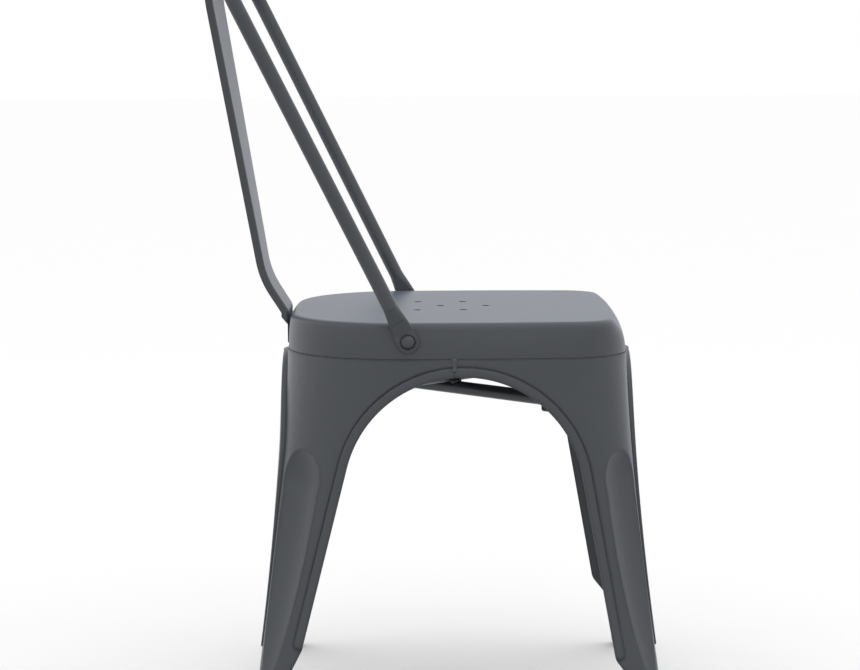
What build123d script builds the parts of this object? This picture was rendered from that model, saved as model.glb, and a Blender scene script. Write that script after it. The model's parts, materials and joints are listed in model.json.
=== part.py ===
from build123d import *
from math import cos, radians, sin, sqrt, tan
import os

# Pressed-steel stacking chair. Millimetres, +Z up, the front faces -Y, the floor is Z = 0.
# "reach" is how far a face stands from the middle of the seat.

# Seat pan
seat_height = 450.0
seat_depth = 379.0
seat_width = 380.0
seat_front_radius = 72.0
seat_top_front_radius = 34.0
seat_rear_radius = 124.0
face_bow = 8.0
skirt_height = 38.5
top_front_inset = 15.0
top_side_inset = 6.0
top_rear_inset = 3.0
skirt_curve = 2.3
skirt_levels = 6
seat_edge_radius = 9.0
seat_sheet = 1.0
tuck_depth = 15.0
drain_hole_diameter = 9.0
drain_ring_radius = 52.0
drain_ring_setback = 18.0
drain_ring_holes = 6
drain_ring_turn = 90.0

# Pressed legs: they flare out and their corners tighten towards the floor
leg_sheet = 1.2
leg_proud = 0.8
foot_flare = 44.0
flare_curve = 1.45
foot_radius = 24.0
corner_curve = 1.8
leg_levels = 6
leg_gap = 0.2
side_joint_setback = 3.0

# Arches between the legs, and the rolled rim along them
apron_depth = 19.0
arch_radius = 130.0
arch_lean = 12.2
side_arch_tip = 2.1
rim_width = 10.0
rim_proud_top = 7.3
rim_proud_foot = 1.6
rim_fade = 2.2
rim_round = 1.5
rim_end_height = 98.0
ankle_top_height = 92.0
ankle_height = 63.0
ankle_wing = 29.0
foot_wing = 28.5
ankle_round = 18.0

# Flute pressed into each leg's corner
flute_radius = 60.0
flute_depth = 5.0
flute_top_height = 286.0
flute_low_height = 140.0
flute_end_height = 62.0
flute_run_out = 2.0

# Rubber foot pads
pad_base = 4.0
pad_plug_height = 26.0

# Back hoop: a bent tube with flattened ends, bolted to the skirt
hoop_tube = 16.0
hoop_wall = 1.5
hoop_recline = 26.3
hoop_top_height = 850.0
hoop_corner_radius = 58.0
hoop_top_span = 450.0
hoop_flare_start = 70.0
hoop_flare_bend = 150.0
tube_offset = 5.0
paddle_width = 24.0
paddle_thickness = 3.0
paddle_run = 10.0
paddle_transition = 32.0
bolt_setback = 53.0
bolt_drop = 19.3

# Hoop bolts
bolt_diameter = 6.0
bolt_head_diameter = 14.0
bolt_head_height = 5.0
washer_diameter = 14.0
washer_thickness = 1.2
nut_sides = 6
nut_flats = 10.0
nut_thickness = 5.0
bolt_end = 2.0
hole_clearance = 0.4

# Back splat
splat_sheet = 1.5
splat_flange = 8.5
splat_fold_radius = 3.0
splat_lower_lean = 32.4
splat_upper_lean = 9.8
splat_bend_height = 488.0
splat_bend_radius = 95.0
splat_roll_height = 806.0
splat_roll_radius = 110.0
splat_foot_width = 82.0
splat_top_width = 166.0
splat_corner_radius = 12.0
splat_taper_radius = 120.0
tab_top = 0.5
tab_clear = 2.0
tab_bend_radius = 10.0
flange_drop = 16.0
flange_cut_angle = 50.0

# Braces under the seat
brace_tube = 15.0
brace_wall = 1.5
brace_height = 355.5
brace_gap = 0.3
cross_weld_diameter = 12.0
cross_weld_height = 6.0
brace_weld_size = 3.5

# Rubber stacking bumpers on the braces
bumper_length = 20.0
bumper_width = 22.0
bumper_above = 9.5
bumper_below = 12.8
bumper_round = 3.0
bumper_reach = 152.0

# Welds and fits
weld_width = 8.0
weld_proud = 0.6
weld_bead = 3.0
weld_run = 0.8
top_weld_drop = 7.0
foot_weld_size = 1.6
weld_gap = 0.05
fit = 0.15
dome_share = 0.8
edge_share = 0.495
overrun = 40.0

right_and_left = (-1, 1)
half_depth = seat_depth / 2
half_width = seat_width / 2
width_trim = half_depth - half_width
seam_height = seat_height - skirt_height
leg_top = seam_height - leg_gap
apex_height = seam_height - apron_depth
arch_centre = apex_height - arch_radius


def leg_flare(height):
    # How far a leg stands out beyond the seat at one height
    return leg_proud + foot_flare * (1 - height / leg_top) ** flare_curve


def corner_radius(height, seat_radius):
    return foot_radius + (seat_radius - foot_radius) * (height / leg_top) ** corner_curve


def corner_reach(height):
    return half_depth + leg_flare(height) - face_bow


# The hoop's line and the back of the splat set the rear end, the front feet the front end
lean_back = tan(radians(hoop_recline))
bolt_height = seat_height - bolt_drop
rail_height = hoop_top_height - hoop_tube / 2
rail_reach = bolt_setback + (rail_height - bolt_height) * lean_back
tab_reach = half_depth + fit
tab_height = seat_height - tab_top
bend_reach = tab_reach + (splat_bend_height - tab_height) * tan(radians(splat_lower_lean))
roll_reach = bend_reach + (splat_roll_height - splat_bend_height) * tan(radians(splat_upper_lean))
splat_back = roll_reach + splat_flange
front_end = corner_reach(0.0) + face_bow * (1 - (1 - foot_wing / corner_reach(0.0)) ** 2)
seat_y = (front_end - splat_back) / 2


def outline(height, side, front, rear, front_radius, rear_radius):
    # A rounded rectangle with bowed sides, drawn at one height
    front_y = seat_y - front
    rear_y = seat_y + rear
    edge = side - face_bow
    front_left = (edge, front_y + face_bow)
    front_right = (-edge, front_y + face_bow)
    rear_left = (edge, rear_y - face_bow)
    rear_right = (-edge, rear_y - face_bow)
    with BuildSketch(Plane.XY.offset(height)) as drawn:
        with BuildLine():
            ThreePointArc(front_left, (0, front_y), front_right)
            ThreePointArc(front_right, (-side, seat_y), rear_right)
            ThreePointArc(rear_right, (0, rear_y), rear_left)
            ThreePointArc(rear_left, (side, seat_y), front_left)
        make_face()
        fillet(drawn.vertices().group_by(Axis.Y)[0], front_radius)
        fillet(drawn.vertices().group_by(Axis.Y)[-1], rear_radius)
    return drawn.sketch


def leg_form(grow, crown=0.0):
    # The solid inside the four legs' outer faces, grown or shrunk by a skin, and more at the top
    sections = []
    for level in range(leg_levels):
        height = leg_top * level / (leg_levels - 1)
        skin = grow + crown * (height / leg_top) ** rim_fade
        reach = half_depth + leg_flare(height) + skin
        front_radius = corner_radius(height, seat_front_radius) + skin
        rear_radius = corner_radius(height, seat_rear_radius) + skin
        sections.append(outline(height, reach - width_trim, reach, reach, front_radius, rear_radius))
    with BuildPart() as form:
        loft(sections=sections)
    return form.part


def seat_form(shrink):
    # The pressed pan's solid form, shrunk by its sheet for the hollow inside
    sections = []
    for level in range(skirt_levels):
        share = level / (skirt_levels - 1)
        draw_in = share**skirt_curve
        front_radius = seat_front_radius + (seat_top_front_radius - seat_front_radius) * draw_in
        sections.append(
            outline(
                seam_height + (skirt_height - shrink) * share,
                half_width - top_side_inset * draw_in - shrink,
                half_depth - top_front_inset * draw_in - shrink,
                half_depth - top_rear_inset * draw_in - shrink,
                front_radius - shrink,
                seat_rear_radius - shrink,
            )
        )
    with BuildPart() as form:
        loft(sections=sections)
        fillet(form.faces().sort_by(Axis.Z)[-1].edges(), seat_edge_radius - shrink)
    return form.part


def arch_point(radius, down):
    # A point on an arch's straight side, so far down from where the round top ends
    lean = radians(arch_lean)
    across = radius * cos(lean) + down * tan(lean)
    return across, arch_centre + radius * sin(lean) - down


def tipped(point, side, tip):
    # A point on one side of an arch that is turned about the middle between its ankles
    turned = Vector(side * point[0], point[1] - ankle_top_height).rotate(Axis.Z, tip)
    return turned.X, turned.Y + ankle_top_height


def opening(plane, tip):
    # The opening under one arch, from the floor up, with the narrow ankle and foot below it
    start = arch_point(arch_radius, 0.0)
    straight_end = arch_point(arch_radius, start[1] - ankle_top_height)
    ankle = (corner_reach(ankle_height) - ankle_wing, ankle_height)
    foot = (corner_reach(0.0) - foot_wing, -overrun / 2)
    with BuildSketch(plane) as drawn:
        with BuildLine():
            for side in right_and_left:
                FilletPolyline(
                    tipped(start, side, tip),
                    tipped(straight_end, side, tip),
                    (side * ankle[0], ankle[1]),
                    (side * foot[0], foot[1]),
                    radius=ankle_round,
                )
            ThreePointArc(tipped(start, -1, tip), tipped((0, apex_height), 1, tip), tipped(start, 1, tip))
            Line((-foot[0], foot[1]), foot)
        make_face()
    return drawn.sketch


def rim_band(plane, tip):
    # The strip along an arch's edge that is raised as a rolled rim, with round ends
    lean = radians(arch_lean)
    middle = arch_radius + rim_width / 2
    run = arch_point(middle, 0.0)[1] - rim_end_height
    end = arch_point(middle, run)
    half = rim_width / 2
    near_top = arch_point(arch_radius, 0.0)
    far_top = arch_point(arch_radius + rim_width, 0.0)
    near_end = (end[0] - half * cos(lean), end[1] - half * sin(lean))
    far_end = (end[0] + half * cos(lean), end[1] + half * sin(lean))
    cap = (end[0] + half * sin(lean), end[1] - half * cos(lean))
    with BuildSketch(plane) as drawn:
        with BuildLine():
            for top, crest in ((near_top, apex_height), (far_top, apex_height + rim_width)):
                ThreePointArc(tipped(top, -1, tip), tipped((0, crest), 1, tip), tipped(top, 1, tip))
            for side in right_and_left:
                Line(tipped(near_top, side, tip), tipped(near_end, side, tip))
                ThreePointArc(*[tipped(point, side, tip) for point in (near_end, cap, far_end)])
                Line(tipped(far_end, side, tip), tipped(far_top, side, tip))
        make_face()
    return drawn.sketch


# One drawing plane for each side of the chair, left, right, rear and front: its x runs along the side,
# its z points outwards. The left and right arches tip towards the front
arch_sides = ((1, 0, side_arch_tip), (-1, 0, -side_arch_tip), (0, 1, 0.0), (0, -1, 0.0))
arches = tuple(
    (Plane((0, seat_y, 0), x_dir=(-outward_y, outward_x, 0), z_dir=(outward_x, outward_y, 0)), tip)
    for outward_x, outward_y, tip in arch_sides
)
leg_names = {
    (-1, -1): "front_right",
    (1, -1): "front_left",
    (-1, 1): "rear_right",
    (1, 1): "rear_left",
}
long_reach = half_depth + foot_flare + overrun


def flute_centre(side, end, height, depth):
    # The flute's axis stands out from the corner so that the groove is as deep as asked
    radius = corner_radius(height, seat_front_radius if end < 0 else seat_rear_radius)
    out = corner_reach(height) - radius + (radius + flute_radius - depth) / sqrt(2)
    return side * (out - width_trim), seat_y + end * out


def flutes(skin):
    # Four long grooves with a round top that run out above the foot, grown by a skin
    depths = (
        (flute_top_height, flute_depth),
        (flute_low_height, flute_depth),
        (flute_end_height, -flute_run_out),
    )
    with BuildPart() as grooves:
        for side, end in leg_names:
            rings = []
            for height, depth in depths:
                with BuildSketch(Plane.XY.offset(height)) as ring:
                    with Locations(flute_centre(side, end, height, depth)):
                        Circle(flute_radius + skin)
                rings.append(ring.sketch)
            loft(sections=rings)
            with Locations((*flute_centre(side, end, flute_top_height, flute_depth), flute_top_height)):
                Sphere(flute_radius + skin)
    return grooves.part


outer = leg_form(0.0)
inner = leg_form(-leg_sheet)
proud = leg_form(rim_proud_foot, rim_proud_top - rim_proud_foot)
lining = leg_form(-leg_sheet - fit)


def write(piece, name):
    piece.part.label = name
    export_step(piece.part, f"parts/{name}.step")


def rim_solid(plane, tip):
    # A raised rim along one arch, round on its outer edges
    with BuildPart() as rim:
        extrude(rim_band(plane.offset(half_width / 2), tip), amount=long_reach)
        add(proud, mode=Mode.INTERSECT)
        skin = rim.faces().filter_by(GeomType.BSPLINE).edges()
        fillet([edge for edge in skin if sum(edge.is_same(other) for other in skin) == 1], rim_round)
    return rim.part


os.makedirs("parts", exist_ok=True)

# Legs: one pressed shell, cut by the arches and parted in the middle of each side
with BuildPart() as hollow:
    add(inner)
    add(flutes(leg_sheet), mode=Mode.SUBTRACT)
with BuildPart() as shell:
    add(outer)
    add(flutes(0.0), mode=Mode.SUBTRACT)
    for plane, tip in arches:
        add(rim_solid(plane, tip))
    add(hollow.part, mode=Mode.SUBTRACT)
    for plane, tip in (arches[0], arches[2]):
        extrude(opening(plane, tip), amount=long_reach, both=True, mode=Mode.SUBTRACT)
    with Locations((0, seat_y, 0)):
        Box(2 * long_reach, 2 * long_reach, 2 * pad_base, mode=Mode.SUBTRACT)

for (side, end), place in leg_names.items():
    joint_y = seat_y + side_joint_setback + end * (leg_gap + long_reach) / 2
    with BuildPart() as leg:
        add(shell.part)
        with Locations((-(leg_gap + long_reach) / 2, joint_y, seam_height / 2)):
            Box(long_reach, long_reach, seam_height, mode=Mode.INTERSECT)
        if side > 0:
            mirror(about=Plane.YZ, mode=Mode.REPLACE)
    write(leg, f"leg_{place}")

# Rubber foot pads: a base under each foot and a plug between the two wings of the leg
pad_half = corner_reach(0.0) - foot_wing
for (side, end), place in leg_names.items():
    pad_x = side * (pad_half - width_trim + long_reach / 2)
    pad_y = seat_y + end * (pad_half + long_reach / 2)
    with BuildPart() as base:
        add(outer)
        with Locations((pad_x, pad_y, (pad_base - fit) / 2)):
            Box(long_reach, long_reach, pad_base - fit, mode=Mode.INTERSECT)
    with BuildPart() as pad:
        add(lining)
        with Locations((pad_x, pad_y, pad_plug_height / 2)):
            Box(long_reach, long_reach, pad_plug_height, mode=Mode.INTERSECT)
        add(base.part)
    write(pad, f"foot_pad_{place}")

# Apron welds: a low bead over the joint between two legs, from the rim up to the seam
with BuildPart() as weld_skin:
    add(leg_form(weld_proud))
    add(leg_form(weld_gap), mode=Mode.SUBTRACT)
weld_low = apex_height + rim_width
weld_places = {
    "right": (-long_reach / 2, side_joint_setback, long_reach, weld_width),
    "left": (long_reach / 2, side_joint_setback, long_reach, weld_width),
    "front": (0, -long_reach / 2, weld_width, long_reach),
    "rear": (0, long_reach / 2, weld_width, long_reach),
}
for place, (across, along, wide, deep) in weld_places.items():
    with BuildPart() as weld:
        add(weld_skin.part)
        with Locations((across, seat_y + along, (weld_low + leg_top) / 2)):
            Box(wide, deep, leg_top - weld_low, mode=Mode.INTERSECT)
    write(weld, f"apron_weld_{place}")

# Seat pan: a pressed shell with a rounded edge, and a tuck band that the legs lap over
tuck_inset = leg_sheet - leg_proud + fit
tuck_low = seam_height - tuck_depth


def seat_outline(height, inset):
    return outline(
        height,
        half_width - inset,
        half_depth - inset,
        half_depth - inset,
        seat_front_radius - inset,
        seat_rear_radius - inset,
    )


with BuildPart() as tuck:
    extrude(seat_outline(tuck_low, tuck_inset), amount=tuck_depth + seat_sheet)
    extrude(
        seat_outline(tuck_low, tuck_inset + seat_sheet),
        amount=tuck_depth + seat_sheet,
        mode=Mode.SUBTRACT,
    )
bolt_y = seat_y + bolt_setback
side_plane = Plane((0, bolt_y, bolt_height), x_dir=(0, 1, 0), z_dir=(1, 0, 0))
with BuildPart() as seat_pan:
    add(seat_form(0.0))
    add(seat_form(seat_sheet), mode=Mode.SUBTRACT)
    add(tuck.part)
    with BuildSketch(Plane((0, seat_y + drain_ring_setback, seat_height))):
        Circle(drain_hole_diameter / 2)
        with PolarLocations(drain_ring_radius, drain_ring_holes, start_angle=drain_ring_turn):
            Circle(drain_hole_diameter / 2)
    extrude(amount=-seat_edge_radius, mode=Mode.SUBTRACT)
    with BuildSketch(side_plane):
        Circle((bolt_diameter + hole_clearance) / 2)
    extrude(amount=long_reach, both=True, mode=Mode.SUBTRACT)
write(seat_pan, "seat_pan")

# Back hoop: its plane leans back through the two bolts, with s measured up from the bolts
lean = radians(hoop_recline)
strut = Vector(0, sin(lean), cos(lean))
bow_rate = face_bow / (half_depth - face_bow) ** 2
paddle_in = half_width - bow_rate * (bolt_setback - paddle_width / 2) ** 2 + fit
paddle_middle = paddle_in + paddle_thickness / 2
tube_middle = paddle_middle + tube_offset
tube_start = paddle_run + paddle_transition
rail_run = (rail_height - bolt_height) / cos(lean)
hoop_plane = Plane((0, bolt_y, bolt_height), x_dir=(1, 0, 0), z_dir=(0, -cos(lean), sin(lean)))
rail_half = hoop_top_span / 2
hoop_points = (
    (-tube_middle, tube_start),
    (-tube_middle, hoop_flare_start),
    (-rail_half, rail_run),
    (rail_half, rail_run),
    (tube_middle, hoop_flare_start),
    (tube_middle, tube_start),
)
hoop_bends = (hoop_flare_bend, hoop_corner_radius, hoop_corner_radius, hoop_flare_bend)


def strut_plane(side, across, run):
    # A plane square to the strut, so far up it from the bolt
    at = Vector(side * across, bolt_y, bolt_height) + strut * run
    return Plane(at, x_dir=(1, 0, 0), z_dir=strut)


with BuildPart() as back_hoop:
    with BuildLine(hoop_plane) as hoop_path:
        FilletPolyline(*hoop_points, radius=hoop_bends)
    with BuildSketch(strut_plane(-1, tube_middle, tube_start)):
        Circle(hoop_tube / 2)
        Circle(hoop_tube / 2 - hoop_wall, mode=Mode.SUBTRACT)
    sweep(path=hoop_path.wires()[0])
    for side in right_and_left:
        flat = strut_plane(side, paddle_middle, paddle_run)
        middle = strut_plane(
            side, (paddle_middle + tube_middle) / 2, paddle_run + paddle_transition / 2
        )
        round_end = strut_plane(side, tube_middle, tube_start)
        swell = (paddle_thickness + hoop_tube) / 2
        narrow = (paddle_width + hoop_tube) / 2
        with BuildSketch(flat) as flat_end:
            RectangleRounded(paddle_thickness, paddle_width, paddle_thickness * edge_share)
        with BuildSketch(middle) as half_way:
            RectangleRounded(swell, narrow, swell * edge_share)
        with BuildSketch(round_end) as tube_end:
            RectangleRounded(hoop_tube, hoop_tube, hoop_tube * edge_share)
        loft(sections=[flat_end.sketch, half_way.sketch, tube_end.sketch])
        paddle_plane = Plane((side * paddle_middle, bolt_y, bolt_height), x_dir=strut, z_dir=(1, 0, 0))
        with BuildSketch(paddle_plane):
            Circle(paddle_width / 2)
            with Locations((paddle_run / 2, 0)):
                Rectangle(paddle_run, paddle_width)
            Circle((bolt_diameter + hole_clearance) / 2, mode=Mode.SUBTRACT)
        extrude(amount=paddle_thickness / 2, both=True)
write(back_hoop, "back_hoop")

# Hoop bolts, with their washers and nuts inside the skirt
skirt_draw = top_side_inset * ((skirt_height - bolt_drop + washer_diameter / 2) / skirt_height) ** skirt_curve
washer_out = (
    half_width - seat_sheet - skirt_draw - bow_rate * (bolt_setback + washer_diameter / 2) ** 2 - fit
)
nut_out = washer_out - washer_thickness
nut_in = nut_out - nut_thickness
head_base = paddle_in + paddle_thickness + fit
for side, place in zip(right_and_left, ("right", "left")):
    outward = Plane((0, bolt_y, bolt_height), x_dir=(0, 1, 0), z_dir=(side, 0, 0))
    with BuildPart() as bolt:
        with BuildSketch(outward.offset(head_base)):
            Circle(bolt_head_diameter / 2)
        extrude(amount=bolt_head_height)
        fillet(bolt.edges().sort_by(Axis.X)[-1 if side > 0 else 0], bolt_head_height * dome_share)
        with BuildSketch(outward.offset(nut_in - bolt_end)):
            Circle(bolt_diameter / 2)
        extrude(amount=head_base - nut_in + bolt_end)
    write(bolt, f"hoop_bolt_{place}")
    with BuildPart() as washer:
        with BuildSketch(outward.offset(nut_out)):
            Circle(washer_diameter / 2)
            Circle((bolt_diameter + hole_clearance) / 2, mode=Mode.SUBTRACT)
        extrude(amount=washer_thickness)
    write(washer, f"hoop_washer_{place}")
    with BuildPart() as nut:
        with BuildSketch(outward.offset(nut_in)):
            RegularPolygon(nut_flats / 2, nut_sides, major_radius=False)
            Circle(bolt_diameter / 2 + fit, mode=Mode.SUBTRACT)
        extrude(amount=nut_thickness - fit)
    write(nut, f"hoop_nut_{place}")

# Back splat: a folded tray that stands on the skirt's rear face and leans on the top rail
rail_back = seat_y + rail_reach + hoop_tube / 2
top_slope = (rail_back + fit - seat_y - roll_reach) / (hoop_top_height - splat_roll_height)
splat_front = (
    (seat_y + tab_reach, seam_height + tab_clear),
    (seat_y + tab_reach, tab_height),
    (seat_y + bend_reach, splat_bend_height),
    (seat_y + roll_reach, splat_roll_height),
    (rail_back + fit + overrun * top_slope, hoop_top_height + overrun),
)
splat_bends = (tab_bend_radius, splat_bend_radius, splat_roll_radius)


def splat_slab(depth):
    # A slab that lies behind the splat's front line, so thick
    with BuildSketch(Plane.YZ) as section:
        with BuildLine():
            FilletPolyline(*splat_front, radius=splat_bends)
            offset(amount=depth, side=Side.RIGHT)
        make_face()
    with BuildPart() as slab:
        extrude(section.sketch, amount=splat_top_width, both=True)
    return slab.part


def splat_face(inset):
    # The splat's tapered outline seen from the front, as a block
    foot_half = splat_foot_width / 2 - inset
    top_half = splat_top_width / 2 - inset
    top_edge = hoop_top_height - inset
    with BuildSketch(Plane.XZ) as face:
        with BuildLine():
            Polyline(
                (-foot_half, seam_height),
                (-foot_half, seat_height),
                (-top_half, top_edge),
                (top_half, top_edge),
                (foot_half, seat_height),
                (foot_half, seam_height),
                close=True,
            )
        make_face()
        fillet(face.vertices().group_by(Axis.Y)[-1], splat_corner_radius - inset)
        fillet(face.vertices().group_by(Axis.Y)[1], splat_taper_radius)
    with BuildPart() as block:
        extrude(face.sketch, amount=long_reach * 2, both=True)
    return block.part


def fold_edges(faces):
    # The edges where the splat's front is folded back into its flanges
    front = faces.filter_by(lambda face: abs(face.center().X) < fit and face.normal_at().Y < -cos(lean) / 2)
    sides = faces.filter_by(lambda face: abs(face.center().X) > splat_foot_width / 4).edges()
    return [edge for edge in front.edges() if any(edge.is_same(other) for other in sides)]


with BuildPart() as channel:
    add(splat_slab(splat_flange + overrun))
    add(splat_slab(splat_sheet), mode=Mode.SUBTRACT)
    add(splat_face(splat_sheet), mode=Mode.INTERSECT)
flange_low = seat_height - flange_drop
tab_back = seat_y + tab_reach + splat_sheet
with BuildPart() as back_splat:
    add(splat_slab(splat_flange))
    add(splat_face(0.0), mode=Mode.INTERSECT)
    fillet(fold_edges(back_splat.faces()), splat_fold_radius)
    add(channel.part, mode=Mode.SUBTRACT)
    with BuildSketch(Plane.YZ):
        with BuildLine():
            Polyline(
                (tab_back, flange_low),
                (tab_back + overrun, flange_low + overrun * tan(radians(flange_cut_angle))),
                (tab_back + overrun, seam_height - overrun),
                (tab_back, seam_height - overrun),
                close=True,
            )
        make_face()
    extrude(amount=splat_top_width, both=True, mode=Mode.SUBTRACT)
write(back_splat, "back_splat")

# Braces: two tubes from corner to corner under the seat, cut to the inside of the legs
brace_middle = Vector(0, seat_y, brace_height)
upper_rise = brace_tube + brace_gap
braces = {
    "lower": (brace_middle, {"front_right": (-1, -1), "rear_left": (1, 1)}),
    "upper": (brace_middle + Vector(0, 0, upper_rise), {"front_left": (1, -1), "rear_right": (-1, 1)}),
}
bare_lining = leg_form(-leg_sheet - fit - brace_weld_size)
for level, (middle, ends) in braces.items():
    side, end = list(ends.values())[0]
    brace_plane = Plane(middle, x_dir=(0, 0, 1), z_dir=(side * half_width, end * half_depth, 0))
    with BuildPart() as brace:
        with BuildSketch(brace_plane):
            Circle(brace_tube / 2)
            Circle(brace_tube / 2 - brace_wall, mode=Mode.SUBTRACT)
        extrude(amount=2 * long_reach, both=True)
        add(lining, mode=Mode.INTERSECT)
    write(brace, f"brace_{level}")
    for place, (side, end) in ends.items():
        outward = Plane(middle, x_dir=(0, 0, 1), z_dir=(side * half_width, end * half_depth, 0))
        with BuildPart() as weld:
            with BuildSketch(outward):
                Circle(brace_tube / 2 + brace_weld_size)
                Circle(brace_tube / 2 + weld_gap, mode=Mode.SUBTRACT)
            extrude(amount=2 * long_reach)
            add(lining, mode=Mode.INTERSECT)
            add(bare_lining, mode=Mode.SUBTRACT)
        write(weld, f"brace_weld_{place}")
        # A rubber bumper, threaded on the tube, whose flat underside meets the chair below
        rise = middle.Z - brace_height
        with BuildPart() as bumper:
            with BuildSketch(outward.offset(bumper_reach - bumper_length / 2)):
                with Locations(((bumper_above - bumper_below - rise) / 2, 0)):
                    Rectangle(bumper_above + bumper_below + rise, bumper_width)
            extrude(amount=bumper_length)
            fillet(bumper.edges(), bumper_round)
            with BuildSketch(outward.offset(bumper_reach - bumper_length)):
                Circle(brace_tube / 2 + fit)
            extrude(amount=2 * bumper_length, mode=Mode.SUBTRACT)
        write(bumper, f"stacking_bumper_{place}")

# Weld between the two braces where they cross
with BuildPart() as brace_cross_weld:
    with Locations(brace_middle + Vector(0, 0, upper_rise / 2)):
        Cylinder(cross_weld_diameter / 2, cross_weld_height)
    for level, (middle, ends) in braces.items():
        side, end = list(ends.values())[0]
        with BuildSketch(Plane(middle, z_dir=(side * half_width, end * half_depth, 0))):
            Circle(brace_tube / 2 + weld_gap)
        extrude(amount=brace_tube, both=True, mode=Mode.SUBTRACT)
write(brace_cross_weld, "brace_cross_weld")

# Splat welds: a bead along the top rail and one under the foot tab
with BuildPart() as splat_top_weld:
    with BuildSketch(Plane.YZ):
        with Locations((rail_back, rail_height - top_weld_drop)):
            Circle(weld_bead)
    extrude(amount=splat_top_width * weld_run / 2, both=True)
    add(splat_slab(overrun), mode=Mode.SUBTRACT)
    with BuildSketch(Plane((0, seat_y + rail_reach, rail_height), z_dir=(1, 0, 0))):
        Circle(hoop_tube / 2 + weld_gap)
    extrude(amount=long_reach, both=True, mode=Mode.SUBTRACT)
write(splat_top_weld, "splat_top_weld")

with BuildPart() as splat_foot_weld:
    with BuildSketch(Plane.YZ):
        with Locations((seat_y + tab_reach, seam_height + tab_clear - weld_gap)):
            Rectangle(foot_weld_size, foot_weld_size, align=(Align.MIN, Align.MAX))
    extrude(amount=splat_foot_width * weld_run / 2, both=True)
    outer_edges = splat_foot_weld.edges().filter_by(Axis.X).group_by(Axis.Y)[-1]
    fillet(outer_edges.sort_by(Axis.Z)[0], foot_weld_size * dome_share)
write(splat_foot_weld, "splat_foot_weld")
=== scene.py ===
import json
from math import cos, pi, radians, sin

import bmesh
import bpy
from mathutils import Matrix, Quaternion, Vector
from mathutils.bvhtree import BVHTree


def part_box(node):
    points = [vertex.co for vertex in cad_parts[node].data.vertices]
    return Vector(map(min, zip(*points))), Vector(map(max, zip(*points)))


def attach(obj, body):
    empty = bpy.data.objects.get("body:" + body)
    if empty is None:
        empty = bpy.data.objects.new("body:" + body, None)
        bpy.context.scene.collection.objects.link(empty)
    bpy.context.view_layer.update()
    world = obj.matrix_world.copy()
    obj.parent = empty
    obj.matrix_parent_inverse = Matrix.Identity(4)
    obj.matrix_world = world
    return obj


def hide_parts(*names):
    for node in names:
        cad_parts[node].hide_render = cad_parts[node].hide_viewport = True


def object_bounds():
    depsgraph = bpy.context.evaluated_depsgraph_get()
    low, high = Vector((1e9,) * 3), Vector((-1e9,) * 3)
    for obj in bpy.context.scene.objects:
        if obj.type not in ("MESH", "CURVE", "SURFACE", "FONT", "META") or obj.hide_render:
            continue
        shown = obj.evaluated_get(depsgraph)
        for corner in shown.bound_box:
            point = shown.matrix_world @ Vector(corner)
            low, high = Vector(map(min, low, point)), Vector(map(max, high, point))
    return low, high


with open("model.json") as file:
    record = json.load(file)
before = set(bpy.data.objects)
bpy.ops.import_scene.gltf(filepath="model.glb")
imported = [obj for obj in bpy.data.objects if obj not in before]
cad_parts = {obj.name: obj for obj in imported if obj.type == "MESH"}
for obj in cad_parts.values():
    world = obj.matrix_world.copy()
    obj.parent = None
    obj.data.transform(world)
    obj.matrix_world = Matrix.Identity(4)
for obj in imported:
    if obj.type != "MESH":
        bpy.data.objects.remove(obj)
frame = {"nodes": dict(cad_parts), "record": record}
nodes = frame["nodes"]
cadLow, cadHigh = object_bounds()
scene = bpy.context.scene
scene.view_settings.view_transform = "Standard"
print("frame loaded with", len(nodes), "nodes")


def linear(hexColour):
    # sRGB hex to linear RGBA
    parts = [int(hexColour[i:i + 2], 16) / 255 for i in (1, 3, 5)]
    return (*[((p + 0.055) / 1.055) ** 2.4 if p > 0.04045 else p / 12.92 for p in parts], 1.0)


def perMetre(millimetres):
    # texture scale for a feature of this real size
    return 1000.0 / millimetres


def addNode(tree, kind, inputs=None, **settings):
    # a node, its settings, and its sockets set to values or linked to other sockets
    node = tree.nodes.new(kind)
    for name, value in settings.items():
        setattr(node, name, value)
    for socket, value in (inputs or {}).items():
        if isinstance(value, bpy.types.NodeSocket):
            tree.links.new(value, node.inputs[socket])
        else:
            node.inputs[socket].default_value = value
    return node


def newMaterial(name):
    material = bpy.data.materials.new(name)
    material.use_nodes = True
    tree = material.node_tree
    tree.nodes.clear()
    return material, tree


def output(tree, shader):
    addNode(tree, "ShaderNodeOutputMaterial", {"Surface": shader.outputs["BSDF"]})


# Polyester powder coat on pressed steel, sprayed dry and baked: one even slate grey with a satin
# sheen, the faint ripple called orange peel, and a fine grit that keeps highlights soft
powderCoat = {
    "colourLow": "#43474C",
    "colourHigh": "#484C52",
    "shadeSize": 70.0,      # mm, slow drift of the film's shade
    "peelSize": 2.6,        # mm, orange peel
    "gritSize": 0.9,        # mm, drawn coarser than the real 0.1 mm grit so that it shows
    "peelHeight": 0.00004,  # m
    "gritHeight": 0.00002,  # m
    "roughLow": 0.34,
    "roughHigh": 0.40,
    "sheen": 0.16,
    "sheenRough": 0.35,
    "sheenTint": "#A6C0F4",
    "edgeSoft": 0.0016,     # m, the film rounds every edge
    "legEdgeSoft": 0.0060,  # m, the deep-drawn legs have wider shoulders than folded sheet and tube
}


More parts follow.
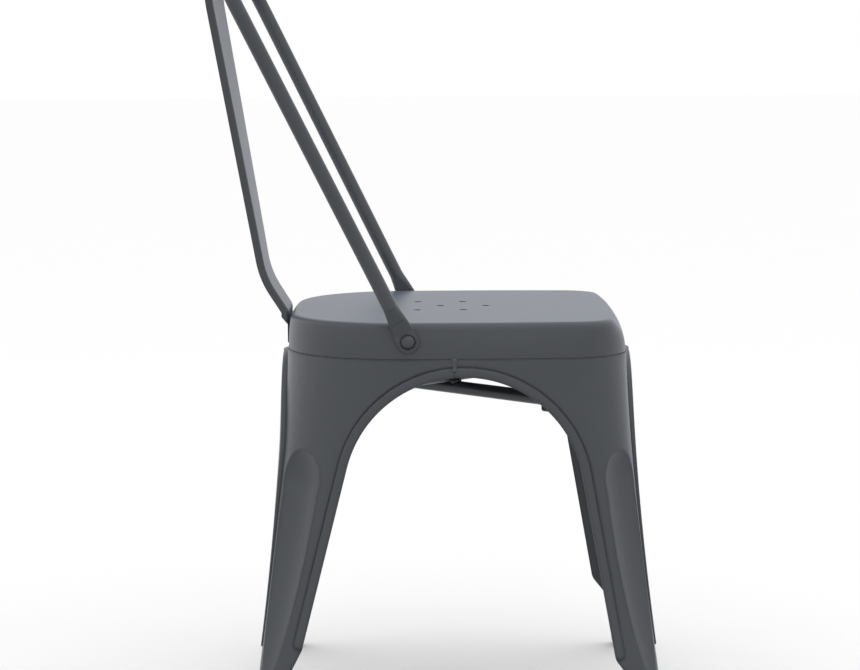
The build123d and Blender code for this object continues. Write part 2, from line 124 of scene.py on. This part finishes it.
def makePowderCoat(name, settings, edgeSoft):
    material, tree = newMaterial(name)
    place = addNode(tree, "ShaderNodeTexCoord").outputs["Object"]
    shade = addNode(tree, "ShaderNodeTexNoise", {
        "Vector": place, "Scale": perMetre(settings["shadeSize"]), "Detail": 3.0})
    peel = addNode(tree, "ShaderNodeTexNoise", {
        "Vector": place, "Scale": perMetre(settings["peelSize"]), "Detail": 1.0})
    grit = addNode(tree, "ShaderNodeTexNoise", {
        "Vector": place, "Scale": perMetre(settings["gritSize"]), "Detail": 2.0})
    colour = addNode(tree, "ShaderNodeMix", {
        "Factor": shade.outputs["Fac"],
        "A": linear(settings["colourLow"]),
        "B": linear(settings["colourHigh"])}, data_type="RGBA")
    rough = addNode(tree, "ShaderNodeMapRange", {
        "Value": peel.outputs["Fac"], "To Min": settings["roughLow"], "To Max": settings["roughHigh"]})
    rounded = addNode(tree, "ShaderNodeBevel", {"Radius": edgeSoft}, samples=4)
    ripple = addNode(tree, "ShaderNodeBump", {
        "Height": peel.outputs["Fac"], "Distance": settings["peelHeight"],
        "Normal": rounded.outputs["Normal"]})
    fine = addNode(tree, "ShaderNodeBump", {
        "Height": grit.outputs["Fac"], "Distance": settings["gritHeight"],
        "Normal": ripple.outputs["Normal"]})
    paint = addNode(tree, "ShaderNodeBsdfPrincipled", {
        "Base Color": colour.outputs["Result"], "Roughness": rough.outputs["Result"],
        "Sheen Weight": settings["sheen"], "Sheen Roughness": settings["sheenRough"],
        "Sheen Tint": linear(settings["sheenTint"]), "Normal": fine.outputs["Normal"]})
    output(tree, paint)
    return material


# Moulded black rubber: matt, with a soft skin and a fine mould texture
rubber = {"colour": "#17171A", "rubbed": "#26262A", "bloomSize": 9.0, "skinSize": 1.1,
          "skinHeight": 0.00006, "rough": 0.62}


def makeRubber(name, settings):
    material, tree = newMaterial(name)
    place = addNode(tree, "ShaderNodeTexCoord").outputs["Object"]
    bloom = addNode(tree, "ShaderNodeTexNoise", {
        "Vector": place, "Scale": perMetre(settings["bloomSize"]), "Detail": 4.0})
    skin = addNode(tree, "ShaderNodeTexNoise", {
        "Vector": place, "Scale": perMetre(settings["skinSize"]), "Detail": 2.0})
    colour = addNode(tree, "ShaderNodeMix", {
        "Factor": bloom.outputs["Fac"],
        "A": linear(settings["colour"]),
        "B": linear(settings["rubbed"])}, data_type="RGBA")
    bump = addNode(tree, "ShaderNodeBump", {
        "Height": skin.outputs["Fac"], "Distance": settings["skinHeight"]})
    shader = addNode(tree, "ShaderNodeBsdfPrincipled", {
        "Base Color": colour.outputs["Result"], "Roughness": settings["rough"],
        "Normal": bump.outputs["Normal"]})
    output(tree, shader)
    return material


# Zinc-plated steel on the washers and nuts: bright, with a bluish cast and cloudy plating
zinc = {"colour": "#B9BCC0", "clouded": "#9FA3A8", "cloudSize": 3.5, "roughLow": 0.28, "roughHigh": 0.42}


def makeZinc(name, settings):
    material, tree = newMaterial(name)
    place = addNode(tree, "ShaderNodeTexCoord").outputs["Object"]
    cloud = addNode(tree, "ShaderNodeTexNoise", {
        "Vector": place, "Scale": perMetre(settings["cloudSize"]), "Detail": 4.0})
    colour = addNode(tree, "ShaderNodeMix", {
        "Factor": cloud.outputs["Fac"],
        "A": linear(settings["colour"]),
        "B": linear(settings["clouded"])}, data_type="RGBA")
    rough = addNode(tree, "ShaderNodeMapRange", {
        "Value": cloud.outputs["Fac"], "To Min": settings["roughLow"], "To Max": settings["roughHigh"]})
    shader = addNode(tree, "ShaderNodeBsdfPrincipled", {
        "Base Color": colour.outputs["Result"], "Roughness": rough.outputs["Result"], "Metallic": 1.0})
    output(tree, shader)
    return material


slatePowderCoat = makePowderCoat("slatePowderCoat", powderCoat, powderCoat["edgeSoft"])
slateOnPressedLegs = makePowderCoat(
    "slatePowderCoatOnPressedLegs", powderCoat, powderCoat["legEdgeSoft"])
blackRubber = makeRubber("blackMouldedRubber", rubber)
zincPlate = makeZinc("zincPlatedSteel", zinc)
finishes = {
    "grey_powder_coat": slatePowderCoat,
    "bolt_paint": slatePowderCoat,
    "zinc_steel": zincPlate,
    "black_rubber": blackRubber,
}
for subpart in frame["record"]["subparts"]:
    mesh = nodes[subpart["node"]].data
    mesh.materials.clear()
    pressedLeg = subpart["node"].startswith("leg_")
    mesh.materials.append(slateOnPressedLegs if pressedLeg else finishes[subpart["material_slot"]])

mergeDistance = 0.00001  # m


def addPiece(name, bm, slotName, *stoodFor):
    # one finished mesh piece that stands for CAD nodes and takes their finish
    bmesh.ops.remove_doubles(bm, verts=bm.verts, dist=mergeDistance)
    bmesh.ops.recalc_face_normals(bm, faces=bm.faces)
    for face in bm.faces:
        face.smooth = True
    mesh = bpy.data.meshes.new(name)
    bm.to_mesh(mesh)
    bm.free()
    mesh.materials.append(finishes[slotName])
    piece = bpy.data.objects.new(name, mesh)
    scene.collection.objects.link(piece)
    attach(piece, "root")
    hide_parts(*stoodFor)
    return piece


# Hoop bolts: a low dome inside a collar, with a dark groove between them
boltHead = {
    "steps": 48,
    # (mm out from the paddle, mm from the axis), from the dome's crown to the back of the collar
    "profile": ((5.0, 0.0), (4.85, 2.1), (4.3, 4.2), (3.3, 5.9), (1.9, 7.1), (0.4, 7.3), (0.2, 7.7),
                (0.3, 8.2), (0.9, 8.4), (1.05, 8.8), (0.8, 9.2), (0.0, 9.4)),
    "height": 5.0,   # mm, the CAD head's
    "shank": 3.0,    # mm, radius
}


def makeBolt(place, outward, settings):
    node = "hoop_bolt_" + place
    low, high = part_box(node)
    middle = (low + high) / 2
    crown, end = (low.x, high.x) if outward < 0 else (high.x, low.x)
    base = crown - outward * settings["height"] / 1000
    bm = bmesh.new()
    line = [(base + outward * out / 1000, radius / 1000) for out, radius in settings["profile"]]
    line += [(base, settings["shank"] / 1000), (end, settings["shank"] / 1000), (end, 0.0)]
    verts = [bm.verts.new((x, middle.y, middle.z + radius)) for x, radius in line]
    edges = [bm.edges.new(pair) for pair in zip(verts, verts[1:])]
    bmesh.ops.spin(bm, geom=verts + edges, cent=middle, axis=(1, 0, 0), angle=2 * pi,
                   steps=settings["steps"], use_merge=True)
    return addPiece("domeBolt_" + place, bm, "bolt_paint", node)


makeBolt("right", -1, boltHead)
makeBolt("left", 1, boltHead)
print("dome bolts made")


def surfaceOf(*names):
    # the CAD nodes' faces, to lay welds on
    depsgraph = bpy.context.evaluated_depsgraph_get()
    return [BVHTree.FromObject(nodes[name], depsgraph) for name in names]


def firstHit(trees, start, direction):
    # the nearest point on these faces in this direction
    hits = [tree.ray_cast(start, direction) for tree in trees]
    hits = [hit for hit in hits if hit[0] is not None]
    return min(hits, key=lambda hit: hit[3])[0]


# An open bead starts at a share of its size and grows by a share with each ring
beadEnds = {"start": 0.35, "growth": 0.4}


def layBead(bm, path, settings, closed=False):
    # a bead of half-sunk rings along points with normals, rippled and tapered at its ends
    rings = []
    count = len(path)
    for i, (point, normal) in enumerate(path):
        ahead = path[(i + 1) % count if closed else min(i + 1, count - 1)][0]
        behind = path[i - 1 if closed or i else 0][0]
        along = (ahead - behind).normalized()
        across = along.cross(normal).normalized()
        fromEnd = min(i, count - 1 - i)
        taper = 1.0 if closed else min(1.0, beadEnds["start"] + beadEnds["growth"] * fromEnd)
        swell = taper * (1.0 + settings["ripple"] * (-1) ** i)
        turn = Matrix((across, normal, along)).transposed().to_4x4()
        size = Matrix.Diagonal((settings["half"] / 1000 * swell, settings["proud"] / 1000 * swell, 1, 1))
        made = bmesh.ops.create_circle(
            bm, segments=settings["round"], radius=1.0,
            matrix=Matrix.Translation(point) @ turn @ size)["verts"]
        rings.append({edge for vert in made for edge in vert.link_edges})
    pairs = list(zip(rings, rings[1:]))
    if closed:
        pairs.append((rings[-1], rings[0]))
    for ring, following in pairs:
        bmesh.ops.bridge_loops(bm, edges=list(ring | following))
    if not closed:
        for ring in (rings[0], rings[-1]):
            bmesh.ops.contextual_create(bm, geom=list(ring))


# Apron welds: a short upright bead over each joint between two legs, rim and all
apronBead = {
    "half": 3.4,     # mm, half its width
    "proud": 0.9,    # mm
    "ripple": 0.07,  # share by which rings differ
    "round": 14,     # sides of a ring
    "steps": 12,
    "high": 413.5,   # mm above the floor
    "low": 398.0,
    "beside": 1.2,   # mm, the faces are felt for beside the open joint
    "stand": 1.0,    # m, from this far off
}
apronPlaces = {
    "right": (Vector((-1, 0, 0)), ("leg_front_right", "leg_rear_right")),
    "left": (Vector((1, 0, 0)), ("leg_front_left", "leg_rear_left")),
    "front": (Vector((0, -1, 0)), ("leg_front_right", "leg_front_left")),
    "rear": (Vector((0, 1, 0)), ("leg_rear_right", "leg_rear_left")),
}


def makeApronWeld(place, outward, names, settings):
    node = "apron_weld_" + place
    low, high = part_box(node)
    middle = (low + high) / 2
    trees = surfaceOf("seat_pan", *names)
    side = Vector((-outward.y, outward.x, 0)) * settings["beside"] / 1000
    path = []
    for i in range(settings["steps"] + 1):
        z = (settings["high"] + (settings["low"] - settings["high"]) * i / settings["steps"]) / 1000
        start = Vector((middle.x, middle.y, z)) + outward * settings["stand"] + side
        point = firstHit(trees, start, -outward)
        path.append((point - side, outward))
    bm = bmesh.new()
    layBead(bm, path, settings)
    return addPiece("apronBead_" + place, bm, "grey_powder_coat", node)


for place, (outward, names) in apronPlaces.items():
    makeApronWeld(place, outward, names, apronBead)
print("apron welds laid")

# Brace welds: a closed bead round each brace end, where the tube meets the inside of the leg
braceBead = {
    "half": 2.6,     # mm, half its width
    "proud": 2.4,    # mm
    "ripple": 0.05,
    "round": 10,
    "steps": 40,
    "tube": 7.5,     # mm, the brace's radius
    "back": 0.06,    # m, the leg is felt for from this far inside
    "inset": 1.9,    # mm, keeps the bead from showing through the sheet
}
braceEnds = ("front_right", "front_left", "rear_right", "rear_left")


def makeBraceWeld(place, settings):
    node = "brace_weld_" + place
    low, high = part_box(node)
    middle = (low + high) / 2
    crossLow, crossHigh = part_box("brace_cross_weld")
    seatMiddle = (crossLow + crossHigh) / 2
    outward = Vector((middle.x - seatMiddle.x, middle.y - seatMiddle.y, 0)).normalized()
    across = outward.cross(Vector((0, 0, 1)))
    trees = surfaceOf("leg_" + place)
    path = []
    for i in range(settings["steps"]):
        turn = 2 * pi * i / settings["steps"]
        radial = across * cos(turn) + Vector((0, 0, sin(turn)))
        start = middle + radial * settings["tube"] / 1000 - outward * settings["back"]
        point = firstHit(trees, start, outward)
        path.append((point - outward * settings["inset"] / 1000, (radial - outward).normalized()))
    bm = bmesh.new()
    layBead(bm, path, settings, closed=True)
    return addPiece("braceBead_" + place, bm, "grey_powder_coat", node)


for place in braceEnds:
    makeBraceWeld(place, braceBead)
print("brace welds laid")

# Splat welds: a bead under the top rail and one under the foot tab
splatBeads = {
    "splat_top_weld": {
        "name": "splatTopBead", "half": 2.6, "proud": 2.2, "ripple": 0.06, "round": 10,
        "steps": 44, "face": (0, 0.3, -1)},
    "splat_foot_weld": {
        "name": "splatFootBead", "half": 1.1, "proud": 1.0, "ripple": 0.06, "round": 10,
        "steps": 30, "face": (0, 1, -1)},
}


def makeSplatWeld(node, settings):
    low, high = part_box(node)
    middle = (low + high) / 2
    facing = Vector(settings["face"]).normalized()
    path = []
    for i in range(settings["steps"] + 1):
        x = low.x + (high.x - low.x) * i / settings["steps"]
        path.append((Vector((x, middle.y, middle.z)), facing))
    bm = bmesh.new()
    layBead(bm, path, settings)
    return addPiece(settings["name"], bm, "grey_powder_coat", node)


for node, settings in splatBeads.items():
    makeSplatWeld(node, settings)
print("splat welds laid")

# Floor: pale, white to the camera, darker to the light that it throws back up
floor = {"half": 30.0, "shown": "#F4F4F4", "bounced": "#5A5A5A", "lift": 0.08}


def seenDirectly(tree):
    # 1 for rays that show the surface: from the camera, in gloss and through glass
    path = addNode(tree, "ShaderNodeLightPath").outputs
    either = addNode(tree, "ShaderNodeMath", {0: path["Is Camera Ray"], 1: path["Is Glossy Ray"]},
                     operation="MAXIMUM")
    return addNode(tree, "ShaderNodeMath", {
        0: either.outputs[0], 1: path["Is Transmission Ray"]}, operation="MAXIMUM").outputs[0]


def makeFloor(settings):
    bpy.ops.mesh.primitive_plane_add(size=2 * settings["half"], location=(0, 0, cadLow.z))
    plane = bpy.context.object
    plane.name = "floor"
    material, tree = newMaterial("paleFloor")
    seen = seenDirectly(tree)
    colour = addNode(tree, "ShaderNodeMix", {
        "Factor": seen, "A": linear(settings["bounced"]), "B": linear(settings["shown"])},
        data_type="RGBA")
    lift = addNode(tree, "ShaderNodeMath", {0: seen, 1: settings["lift"]}, operation="MULTIPLY")
    shader = addNode(tree, "ShaderNodeBsdfPrincipled", {
        "Base Color": colour.outputs["Result"], "Roughness": 1.0, "Specular IOR Level": 0.0,
        "Emission Color": (1, 1, 1, 1), "Emission Strength": lift.outputs[0]})
    output(tree, shader)
    plane.data.materials.append(material)
    return plane


makeFloor(floor)

# Studio: white surroundings and one wide soft box overhead
studio = {"ambient": 1.0, "shown": 1.0, "softBoxSize": 3.2, "softBoxPower": 6.0,
          "softBoxPlace": (-0.6, -0.4, 2.9), "aimHeight": 0.4}


def makeStudio(settings):
    world = bpy.data.worlds.new("studio")
    scene.world = world
    world.use_nodes = True
    tree = world.node_tree
    tree.nodes.clear()
    seen = seenDirectly(tree)
    strength = addNode(tree, "ShaderNodeMapRange", {
        "Value": seen, "To Min": settings["ambient"], "To Max": settings["shown"]})
    light = addNode(tree, "ShaderNodeBackground", {
        "Color": (1, 1, 1, 1), "Strength": strength.outputs["Result"]})
    addNode(tree, "ShaderNodeOutputWorld", {"Surface": light.outputs["Background"]})
    lamp = bpy.data.lights.new("softBox", "AREA")
    lamp.shape = "SQUARE"
    lamp.size = settings["softBoxSize"]
    lamp.energy = settings["softBoxPower"]
    box = bpy.data.objects.new("softBox", lamp)
    scene.collection.objects.link(box)
    box.location = settings["softBoxPlace"]
    aim = Vector((0, 0, settings["aimHeight"])) - box.location
    box.rotation_euler = aim.to_track_quat("-Z", "Y").to_euler()


makeStudio(studio)
print("floor and studio light made")

# Camera: low and far off on the sitter's right, turned a little towards the back and held a little askew
photoCamera = {
    "width": 860,                      # pixels across
    "focal": 2578.0,                   # pixels
    "place": (-2.946, -0.007, 0.757),  # m
    "down": 6.60,                      # degrees
    "turn": 0.24,
    "roll": -0.35,
    "sensor": 36.0,                    # mm
}


def makeCamera(settings):
    lens = bpy.data.cameras.new("camera")
    lens.sensor_fit = "HORIZONTAL"
    lens.sensor_width = settings["sensor"]
    lens.lens = settings["focal"] * settings["sensor"] / settings["width"]
    camera = bpy.data.objects.new("camera", lens)
    scene.collection.objects.link(camera)
    camera.location = settings["place"]
    down = radians(settings["down"])
    turn = radians(settings["turn"])
    look = Vector((cos(turn) * cos(down), sin(turn) * cos(down), -sin(down)))
    roll = Quaternion((0, 0, 1), radians(settings["roll"]))
    camera.rotation_euler = (look.to_track_quat("-Z", "Y") @ roll).to_euler()
    scene.camera = camera


makeCamera(photoCamera)
print("camera placed")
